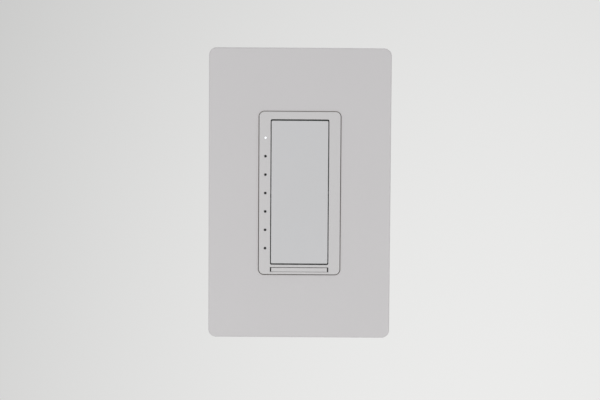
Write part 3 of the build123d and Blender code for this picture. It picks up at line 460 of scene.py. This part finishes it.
# Enamelled copper of the choke: reddish under a clear, even enamel.
enamelled_copper = worked_metal(
    "enamelled copper wire",
    colour="#B5622E",
    shade="#9C4E22",
    recess_shade="#4A2410",
    roughness=0.24,
    grain=(0.3, 3, 0.3),
    cloud=2,
)
# Glass epoxy of the boards: dark green mask, with paler lines where it lies over copper.
board_mask = glass_epoxy("glass epoxy, green mask", mask="#1C4630", mask_shade="#1F4A33", run="#35664B")
# Clear polycarbonate of the light guides: bright edges, with faint flow clouds inside.
guide_polycarbonate = clear_polycarbonate(
    "clear polycarbonate",
    {"Base Color": linear("#D5DADC"), "Transmission Weight": 0.85},
    cloud=2,
    clearest=0.08,
    haziest=0.2,
)
# The light guide's end over the lit LED: an even white glow in a clear, slightly hazed end.
window_glow = clear_polycarbonate(
    "clear polycarbonate, lit",
    {
        "Base Color": linear("#E2E5E8"),
        "Emission Color": linear("#FDFEFF"),
        "Emission Strength": 0.45,
    },
    cloud=0.4,
    clearest=0.2,
    haziest=0.4,
)

FINISHES = {
    plate_abs: ["cover_plate"],
    bezel_polycarbonate: ["bezel", "air_gap_tab"],
    rocker_polycarbonate: ["rocker"],
    frame_abs: ["sub_plate"],
    housing_polyester: ["rear_housing"],
    black_phenolic: ["bridge_carrier", "controller_chip", "header_spacer", "triac", "fuse"],
    silicone_rubber: ["dome_mat", "thermal_pad"],
    pressed_fibre: ["insulator_sheet"],
    yellow_epoxy: ["film_capacitor"],
    blue_epoxy: ["varistor"],
    shrink_sleeve: ["filter_capacitor"],
    coated_ferrite: ["choke_core"],
    led_epoxy: ["status_leds"],
    rolled_aluminium: ["mounting_yoke"],
    zinc_steel: ["sub_plate_screws", "box_screws", "housing_screws", "triac_screw"],
    green_steel: ["ground_screw"],
    terminal_brass: [
        "terminal_plates",
        "terminal_screws",
        "contact_bridge",
        "fixed_contacts",
        "header_pins",
    ],
    enamelled_copper: ["choke_winding"],
    board_mask: ["control_board", "power_board"],
    guide_polycarbonate: ["light_pipe"],
}
for finish, nodes in FINISHES.items():
    for node in nodes:
        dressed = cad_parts[node].data.materials
        dressed.clear()
        dressed.append(finish)


# Turned pieces: screws and the ends of the light guides

# Heights run from 0 under a pan head to the tip, so that head lies below 0. A sunk head starts at 0.
THREAD_PITCH = 0.794 * MM
THREAD_DEPTH = 0.42 * MM
ROWS_PER_TURN = 6
SCREW_STEPS = 32
CROWN_STEPS = 6
TIP_CHAMFER = 0.5 * MM
CUTTER_TOP = -3 * MM

HEAD_RADIUS = 3.2 * MM
HEAD_HEIGHT = 2.0 * MM
HEAD_CROWN = 0.9 * MM
SHANK_RADIUS = 1.75 * MM
SLOT = 0.9 * MM
SLOT_LENGTH = 3 * HEAD_RADIUS
SLOT_DEPTH = 0.9 * MM
SLOT_FLOOR = SLOT_DEPTH - HEAD_HEIGHT
SIDE_THREAD_START = 0.2 * MM
SIDE_CROSS = 0.8 * MM
SIDE_CROSS_LENGTH = 3.4 * MM


def turned(name, rows, steps, pitch=THREAD_PITCH):
    """A closed mesh turned about Z from rows of height, radius and thread depth.

    The first and the last row are points on the axis. A thread of this pitch winds up the
    rows that have a depth.
    """
    points = [(0, 0, rows[0][0])]
    for height, radius, depth in rows[1:-1]:
        for i in range(steps):
            share = i / steps
            flank = abs(2 * ((height / pitch - share) % 1) - 1)
            reach = radius - depth * flank
            points.append((reach * math.cos(math.tau * share), reach * math.sin(math.tau * share), height))
    points.append((0, 0, rows[-1][0]))
    last = len(points) - 1
    rings = len(rows) - 2
    faces = []
    for i in range(steps):
        after = (i + 1) % steps
        faces.append((0, 1 + after, 1 + i))
        for ring in range(rings - 1):
            near = 1 + ring * steps
            far = near + steps
            faces.append((near + i, near + after, far + after, far + i))
        end = 1 + (rings - 1) * steps
        faces.append((end + i, end + after, last))
    mesh = bpy.data.meshes.new(name)
    mesh.from_pydata(points, [], faces)
    return mesh


def cut_bar(mesh, width, length, floor):
    """The mesh with a bar cut from above its head down to this height, for a driver."""
    form = bmesh.new()
    bmesh.ops.create_cube(form, size=1)
    scale = Matrix.Diagonal((length, width, floor - CUTTER_TOP, 1))
    middle = Matrix.Translation((0, 0, (CUTTER_TOP + floor) / 2))
    bmesh.ops.transform(form, matrix=middle @ scale, verts=form.verts)
    bar_mesh = bpy.data.meshes.new("bar")
    form.to_mesh(bar_mesh)
    form.free()
    bar = bpy.data.objects.new("bar", bar_mesh)
    blank = bpy.data.objects.new("blank", mesh)
    for item in (bar, blank):
        bpy.context.scene.collection.objects.link(item)
    cut = blank.modifiers.new("cut", "BOOLEAN")
    cut.operation = "DIFFERENCE"
    cut.solver = "EXACT"
    cut.object = bar
    evaluated = bpy.context.evaluated_depsgraph_get()
    result = bpy.data.meshes.new_from_object(blank.evaluated_get(evaluated))
    bpy.data.objects.remove(bar)
    bpy.data.objects.remove(blank)
    return result


def placed(name, mesh, places, finish):
    """One piece on the device that repeats a mesh at each of these places."""
    form = bmesh.new()
    for place in places:
        copy = mesh.copy()
        copy.transform(place)
        form.from_mesh(copy)
        bpy.data.meshes.remove(copy)
    whole = bpy.data.meshes.new(name)
    form.to_mesh(whole)
    form.free()
    whole.shade_smooth()
    whole.set_sharp_from_angle(angle=SMOOTH_ANGLE)
    whole.materials.clear()
    whole.materials.append(finish)
    piece = bpy.data.objects.new(name, whole)
    bpy.context.scene.collection.objects.link(piece)
    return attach(piece, "device")


def facing(direction, point):
    """The place at a point where a turned piece runs along this direction."""
    turn = Vector(direction).to_track_quat("Z", "Y").to_matrix().to_4x4()
    return Matrix.Translation(point) @ turn


def pan_rows(head, height, crown):
    """Rows of a pan head whose underside is at height 0 and whose crown is rounded."""
    rows = [(-height, 0, 0), (-height, (head - crown) / 2, 0)]
    for i in range(CROWN_STEPS + 1):
        angle = math.pi / 2 * i / CROWN_STEPS
        rows.append((crown * (1 - math.cos(angle)) - height, head - crown + crown * math.sin(angle), 0))
    return rows + [(0, head, 0)]


def thread_rows(start, end, radius=SHANK_RADIUS, pitch=THREAD_PITCH, depth=THREAD_DEPTH):
    """Rows of a thread between two heights that runs out at its start and in a chamfered tip."""
    count = max(2, round((end - start) / pitch * ROWS_PER_TURN))
    rows = []
    for i in range(count + 1):
        height = start + (end - start) * i / count
        run_in = min(1, i / ROWS_PER_TURN)
        past = max(0, height - (end - TIP_CHAMFER))
        rows.append((height, radius - past, max(0, depth * run_in - past)))
    return rows + [(end, 0, 0)]


def pan_screw(name, head, neck, start, end, radius=SHANK_RADIUS, pitch=THREAD_PITCH, depth=THREAD_DEPTH):
    """A screw along +Z from its head's rows, with a plain neck down to the start of its thread."""
    rows = head + [(0, neck, 0), (start, neck, 0)] + thread_rows(start, end, radius, pitch, depth)
    return turned(name, rows, SCREW_STEPS, pitch)


PAN_HEAD = pan_rows(HEAD_RADIUS, HEAD_HEIGHT, HEAD_CROWN)


def side_screw(name, length):
    """A terminal's screw, this long under its head, with a slot and a cross."""
    blank = pan_screw(name, PAN_HEAD, neck=SHANK_RADIUS, start=SIDE_THREAD_START, end=length)
    slotted = cut_bar(blank, SLOT, SLOT_LENGTH, SLOT_FLOOR)
    return cut_bar(slotted, SIDE_CROSS_LENGTH, SIDE_CROSS, SLOT_FLOOR)


# Box screws: long, with thinner necks in the yoke's slots and threads past them.
NECK_RADIUS = 1.5 * MM
NECK_LENGTH = 1.9 * MM
low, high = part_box("box_screws")
spacing = (high.z - low.z) / 2 - HEAD_RADIUS
box_head_under = low.y + HEAD_HEIGHT
box_screw = pan_screw(
    "box_screw",
    PAN_HEAD,
    neck=NECK_RADIUS,
    start=NECK_LENGTH,
    end=high.y - box_head_under,
)
box_screw = cut_bar(box_screw, SLOT, SLOT_LENGTH, SLOT_FLOOR)
box_places = [facing((0, 1, 0), (0, box_head_under, end * spacing)) for end in (1, -1)]
box_pair = placed("box_screw_pair", box_screw, box_places, zinc_steel)
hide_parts("box_screws")

# Sub-plate screws: countersunk and slotted, with their tails out behind the yoke.
SUNK_HEIGHT = 1.5 * MM
SUNK_THREAD_START = 1.65 * MM
SUNK_RING_SHARE = 0.6
low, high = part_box("sub_plate_screws")
sunk_radius = (high.x - low.x) / 2
spacing = (high.z - low.z) / 2 - sunk_radius
sunk_rows = [
    (0, 0, 0),
    (0, SUNK_RING_SHARE * sunk_radius, 0),
    (0, sunk_radius, 0),
    (SUNK_HEIGHT, SHANK_RADIUS, 0),
]
sunk_rows += thread_rows(SUNK_THREAD_START, high.y - low.y)
sunk_screw = turned("sunk_screw", sunk_rows, SCREW_STEPS)
sunk_screw = cut_bar(sunk_screw, SLOT, SLOT_LENGTH, SLOT_DEPTH)
sunk_places = [facing((0, 1, 0), (0, low.y, end * spacing)) for end in (1, -1)]
sunk_pair = placed("sub_plate_screw_pair", sunk_screw, sunk_places, zinc_steel)
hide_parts("sub_plate_screws")

# Terminal screws: three in the housing's sides, two at the left and one at the right.
TERMINAL_SHANK = 3.2 * MM
low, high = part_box("terminal_screws")
terminal_y = (low.y + high.y) / 2
terminal_z = (high.z - low.z) / 2 - HEAD_RADIUS
terminal_face = high.x - HEAD_HEIGHT
terminal_places = [
    facing((-side, 0, 0), (side * terminal_face, terminal_y, z))
    for side, z in ((-1, terminal_z), (-1, -terminal_z), (1, terminal_z))
]
terminal_screw = side_screw("terminal_screw", TERMINAL_SHANK)
terminal_set = placed("terminal_screw_set", terminal_screw, terminal_places, terminal_brass)
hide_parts("terminal_screws")

# Ground screw: the same screw in green plate, through the yoke's ear.
low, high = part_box("ground_screw")
ground_face = high.x - HEAD_HEIGHT
ground_place = facing((-1, 0, 0), (ground_face, (low.y + high.y) / 2, (low.z + high.z) / 2))
ground_form = side_screw("ground_screw_form", ground_face - low.x)
ground_screw = placed("ground_screw_threaded", ground_form, [ground_place], green_steel)
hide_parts("ground_screw")

# Housing screws: four from behind, sunk in the housing's back, with a cross recess.
CASE_HEAD = 2.0 * MM
CASE_HEAD_HEIGHT = 1.5 * MM
CASE_CROWN = 0.7 * MM
CASE_SHANK = 1.1 * MM
CASE_THREAD_START = 22 * MM
CASE_PITCH = 0.9 * MM
CASE_THREAD_DEPTH = 0.3 * MM
CASE_CROSS = 0.55 * MM
CASE_CROSS_LENGTH = 2.3 * MM
CASE_CROSS_DEPTH = 0.825 * MM
low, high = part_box("housing_screws")
case_x = high.x - CASE_HEAD
case_z = high.z - CASE_HEAD
case_under = high.y - CASE_HEAD_HEIGHT
case_screw = pan_screw(
    "case_screw",
    pan_rows(CASE_HEAD, CASE_HEAD_HEIGHT, CASE_CROWN),
    neck=CASE_SHANK,
    start=CASE_THREAD_START,
    end=case_under - low.y,
    radius=CASE_SHANK,
    pitch=CASE_PITCH,
    depth=CASE_THREAD_DEPTH,
)
case_floor = CASE_CROSS_DEPTH - CASE_HEAD_HEIGHT
case_screw = cut_bar(case_screw, CASE_CROSS, CASE_CROSS_LENGTH, case_floor)
case_screw = cut_bar(case_screw, CASE_CROSS_LENGTH, CASE_CROSS, case_floor)
case_places = [facing((0, -1, 0), (x * case_x, case_under, z * case_z)) for x in (1, -1) for z in (1, -1)]
case_set = placed("housing_screw_set", case_screw, case_places, zinc_steel)
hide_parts("housing_screws")

# Ends of the light guides: low domes on the pins, in the bezel's holes. The top one is lit.
WINDOW_RADIUS = 0.52 * MM
WINDOW_DOME = 0.14 * MM
WINDOW_FOOT = 0.05 * MM
WINDOW_PITCH = 7.55 * MM
WINDOW_COUNT = 7
WINDOW_RINGS = 6
WINDOW_STEPS = 24
low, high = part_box("light_pipe")
window_x = (low.x + high.x) / 2
window_top = WINDOW_PITCH * (WINDOW_COUNT - 1) / 2
window_rows = [(-WINDOW_DOME, 0, 0)]
for ring in range(1, WINDOW_RINGS + 1):
    angle = math.pi / 2 * ring / WINDOW_RINGS
    window_rows.append((-WINDOW_DOME * math.cos(angle), WINDOW_RADIUS * math.sin(angle), 0))
window_rows += [(WINDOW_FOOT, WINDOW_RADIUS, 0), (WINDOW_FOOT, 0, 0)]
window = turned("window", window_rows, WINDOW_STEPS)
window_places = [
    facing((0, 1, 0), (window_x, low.y, window_top - WINDOW_PITCH * row)) for row in range(WINDOW_COUNT)
]
lit_window = placed("lit_light_window", window, window_places[:1], window_glow)
dark_windows = placed("dark_light_windows", window, window_places[1:], smoked_polycarbonate)

# Key mat: a copy of the mat's mesh in place of its part, with the tops of its domes under the rocker's
# feet and its sheet on the board.
key_mat = bpy.data.objects.new("key_dome_mat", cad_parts["dome_mat"].data.copy())
bpy.context.scene.collection.objects.link(key_mat)
low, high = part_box("dome_mat")
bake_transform(key_mat)
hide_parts("dome_mat")


# Floor, light and camera: places and sizes are in metres, the paint's specks in millimetres

FLOOR_DROP = 0.22
FLOOR_RADIUS = 0.28
FLOOR_FADE_START = 0.1
FLOOR_STEPS = 96
PAINT_SPECK = 6


def floor_paint(name):
    """Matt pale floor paint that fades out towards its rim, so that it meets the background softly."""
    finish, tree, shader, place = start_finish(name, {"Roughness": 0.9})
    speck = add(tree, "TexNoise", {"Scale": per_metre(PAINT_SPECK), "Detail": 3}, {"Vector": place})
    tone = add(
        tree,
        "Mix",
        {"data_type": "RGBA", MIX_FIRST: linear("#E2E2E0"), MIX_SECOND: linear("#DFDFDD")},
        {MIX_SHARE: speck.outputs["Fac"]},
    )
    reach = add(tree, "VectorMath", {"operation": "LENGTH"}, {0: place})
    fade = add(
        tree,
        "MapRange",
        {
            "interpolation_type": "SMOOTHSTEP",
            "From Min": FLOOR_FADE_START,
            "From Max": FLOOR_RADIUS,
            "To Min": 1,
            "To Max": 0,
        },
        {"Value": reach.outputs["Value"]},
    )
    tree.links.new(tone.outputs[MIX_RESULT], shader.inputs["Base Color"])
    tree.links.new(fade.outputs["Result"], shader.inputs["Alpha"])
    return finish


floor_mesh = bpy.data.meshes.new("pale_floor")
form = bmesh.new()
bmesh.ops.create_circle(form, cap_ends=True, segments=FLOOR_STEPS, radius=FLOOR_RADIUS)
form.to_mesh(floor_mesh)
form.free()
floor_mesh.materials.append(floor_paint("matt floor paint"))
floor = bpy.data.objects.new("pale_floor", floor_mesh)
floor.location = (0, 0, -FLOOR_DROP)
bpy.context.scene.collection.objects.link(floor)

# Background: a pale wall's soft pool of light, brightest to the right of the middle and low, which
# falls off to an even level. POOL is the direction of its middle and POOL_FALL how fast it falls off
# along each axis. Camera, mirror and clear surfaces see it. Everything else gets an even soft light,
# stronger from above, as under a white ceiling.
POOL = (0.196, 0, -0.345)
POOL_FALL = (0.909, 0, 0.597)
POOL_LEVEL = 0.84
POOL_FLOOR = 0.52
AMBIENT = 0.562
CEILING = 0.4
world = bpy.data.worlds.new("pale studio")
bpy.context.scene.world = world
world.use_nodes = True
tree = world.node_tree
tree.nodes.clear()
direction = add(tree, "TexCoord", {}, {}).outputs["Generated"]
away = add(
    tree,
    "Mapping",
    {"Location": [-at * fall for at, fall in zip(POOL, POOL_FALL)], "Scale": POOL_FALL},
    {"Vector": direction},
).outputs["Vector"]
fall = add(tree, "VectorMath", {"operation": "DOT_PRODUCT"}, {0: away, 1: away}).outputs["Value"]
level = add(tree, "Math", {"operation": "SUBTRACT", 0: POOL_LEVEL}, {1: fall}).outputs["Value"]
level = add(tree, "Math", {"operation": "MAXIMUM", 1: POOL_FLOOR}, {0: level}).outputs["Value"]
path = add(tree, "LightPath", {}, {}).outputs
seen = add(
    tree,
    "Math",
    {"operation": "MAXIMUM"},
    {0: path["Is Camera Ray"], 1: path["Is Glossy Ray"]},
).outputs["Value"]
seen = add(
    tree,
    "Math",
    {"operation": "MAXIMUM"},
    {0: seen, 1: path["Is Transmission Ray"]},
).outputs["Value"]
height = add(tree, "SeparateXYZ", {}, {"Vector": direction}).outputs["Z"]
above = add(tree, "Math", {"operation": "MAXIMUM", 1: 0}, {0: height}).outputs["Value"]
room = add(
    tree,
    "Math",
    {"operation": "MULTIPLY_ADD", 1: CEILING, 2: AMBIENT},
    {0: above},
).outputs["Value"]
soft = add(tree, "Background", {"Color": linear("#FFFFFF")}, {"Strength": room})
wall = add(tree, "Background", {"Color": linear("#FFFFFE")}, {"Strength": level})
choice = add(
    tree,
    "MixShader",
    {},
    {0: seen, 1: soft.outputs["Background"], 2: wall.outputs["Background"]},
)
add(tree, "OutputWorld", {}, {"Surface": choice.outputs["Shader"]})


def lamp(name, place, size, power):
    """A square soft lamp that looks at the device."""
    light = bpy.data.lights.new(name, "AREA")
    light.size = size
    light.energy = power
    item = bpy.data.objects.new(name, light)
    item.location = place
    item.rotation_euler = (-Vector(place)).to_track_quat("-Z", "Y").to_euler()
    bpy.context.scene.collection.objects.link(item)


lamp("key", place=(-0.9, -1.3, -0.45), size=1.1, power=7.4)
lamp("fill", place=(1.05, -1.05, -0.5), size=1.1, power=5.2)
lamp("back", place=(0.6, 1.1, 0.9), size=1.4, power=7)

# The camera stands nearly square to the plate, a little above it, and puts the middle of the plate's
# front on PLATE_PIXEL.
CAMERA_DISTANCE = 0.48
CAMERA_PITCH = 2.81
CAMERA_ROLL = 0.38
PIXELS_PER_METRE = 2437
PICTURE_WIDTH = 600
PICTURE_HEIGHT = 400
PLATE_PIXEL = (299.6, 193.2)
SENSOR = 36
focal_pixels = PIXELS_PER_METRE * CAMERA_DISTANCE
camera_data = bpy.data.cameras.new("camera")
camera_data.sensor_width = SENSOR
camera_data.lens = SENSOR * focal_pixels / PICTURE_WIDTH
camera = bpy.data.objects.new("camera", camera_data)
bpy.context.scene.collection.objects.link(camera)
pitch = Matrix.Rotation(math.radians(90 - CAMERA_PITCH), 4, "X")
roll = Matrix.Rotation(math.radians(CAMERA_ROLL), 4, "Z")
turn = pitch @ roll
plate_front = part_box("cover_plate")[0].y
aim = Vector((0, plate_front, 0))
ray = Vector(
    (
        (PLATE_PIXEL[0] - PICTURE_WIDTH / 2) / focal_pixels,
        (PICTURE_HEIGHT / 2 - PLATE_PIXEL[1]) / focal_pixels,
        -1,
    )
)
camera.matrix_world = Matrix.Translation(aim - turn @ (ray * CAMERA_DISTANCE)) @ turn
bpy.context.scene.camera = camera
bpy.context.scene.view_settings.view_transform = "Standard"
